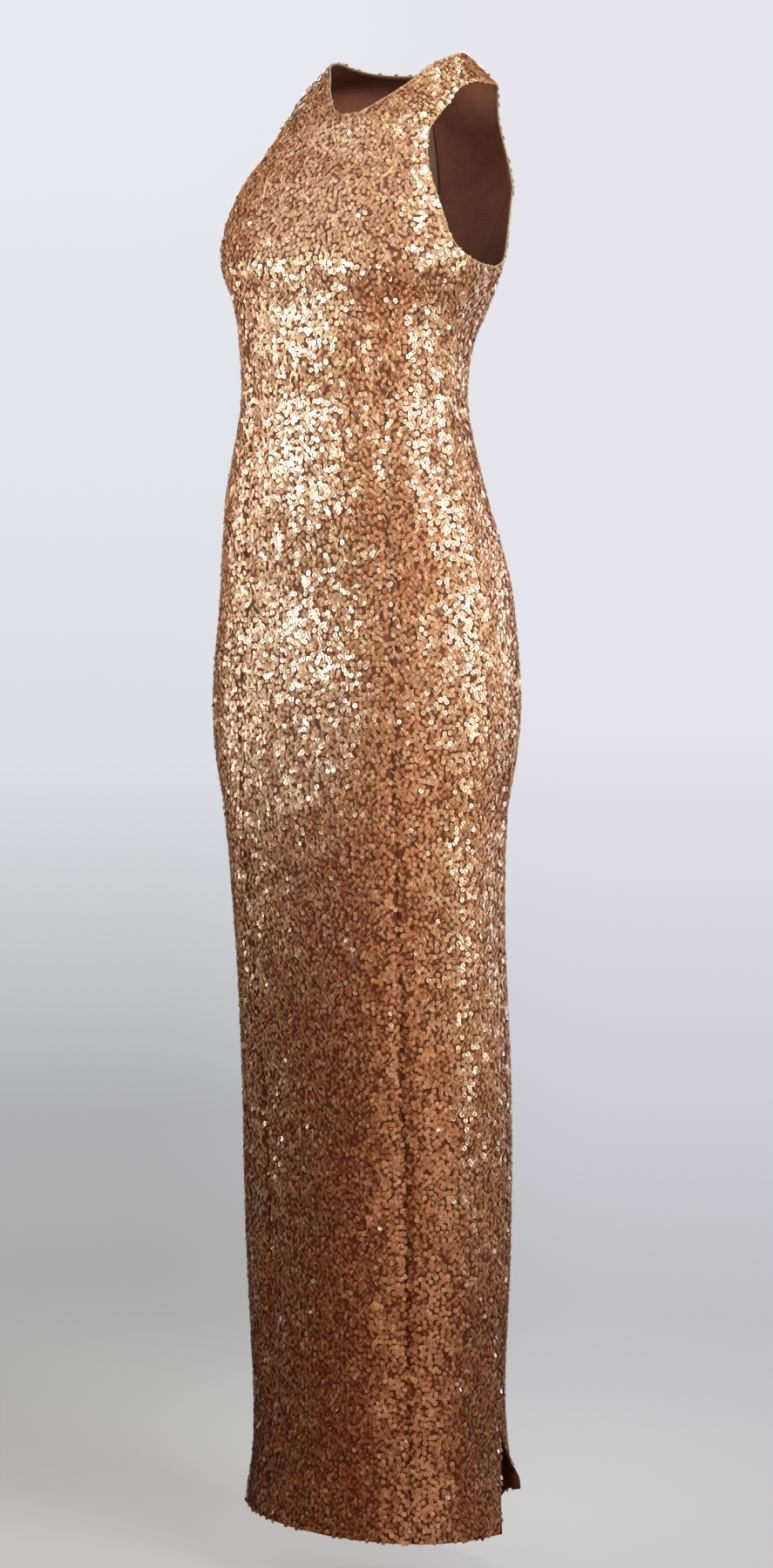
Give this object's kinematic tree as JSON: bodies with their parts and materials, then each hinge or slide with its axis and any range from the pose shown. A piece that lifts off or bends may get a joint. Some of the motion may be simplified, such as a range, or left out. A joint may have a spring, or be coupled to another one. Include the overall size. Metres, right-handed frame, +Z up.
{
  "type": "sequin gown",
  "caption": "Sleeveless floor-length sequin gown, worn and hollow, with a round neck, princess seams, side slits at the hem and a centre back zip.",
  "frame": {"origin": "midway between the two shoulder seams, level with their neck ends, where the wearer's shoulders carry the gown", "axes": "+Z up towards the neck, -Y the front, +X the wearer's left"},
  "size_m": [0.3254, 0.252, 1.4962],
  "materials": {
    "sequin_cloth": "covered all over in small round rose-copper sequins",
    "zip_cloth": "matt woven tape",
    "zip_metal": "polished"
  },
  "bodies": {
    "gown": {"front_centre": "sequin_cloth", "front_side_left": "sequin_cloth", "front_side_right": "sequin_cloth", "back_side_left": "sequin_cloth", "back_side_right": "sequin_cloth", "back_centre_left": "sequin_cloth", "back_centre_right": "sequin_cloth", "zip_tape": "zip_cloth", "zip_slider": "zip_metal"},
    "pull_tab": {"zip_pull": "zip_metal"}
  },
  "joints": [
    {"name": "zip_pull_swing", "type": "hinge", "parent": "gown", "child": "pull_tab", "pos_m": [0, 0.04639, -0.03279], "axis": [1, 0, 0], "range_deg": [0, 150]}
  ]
}
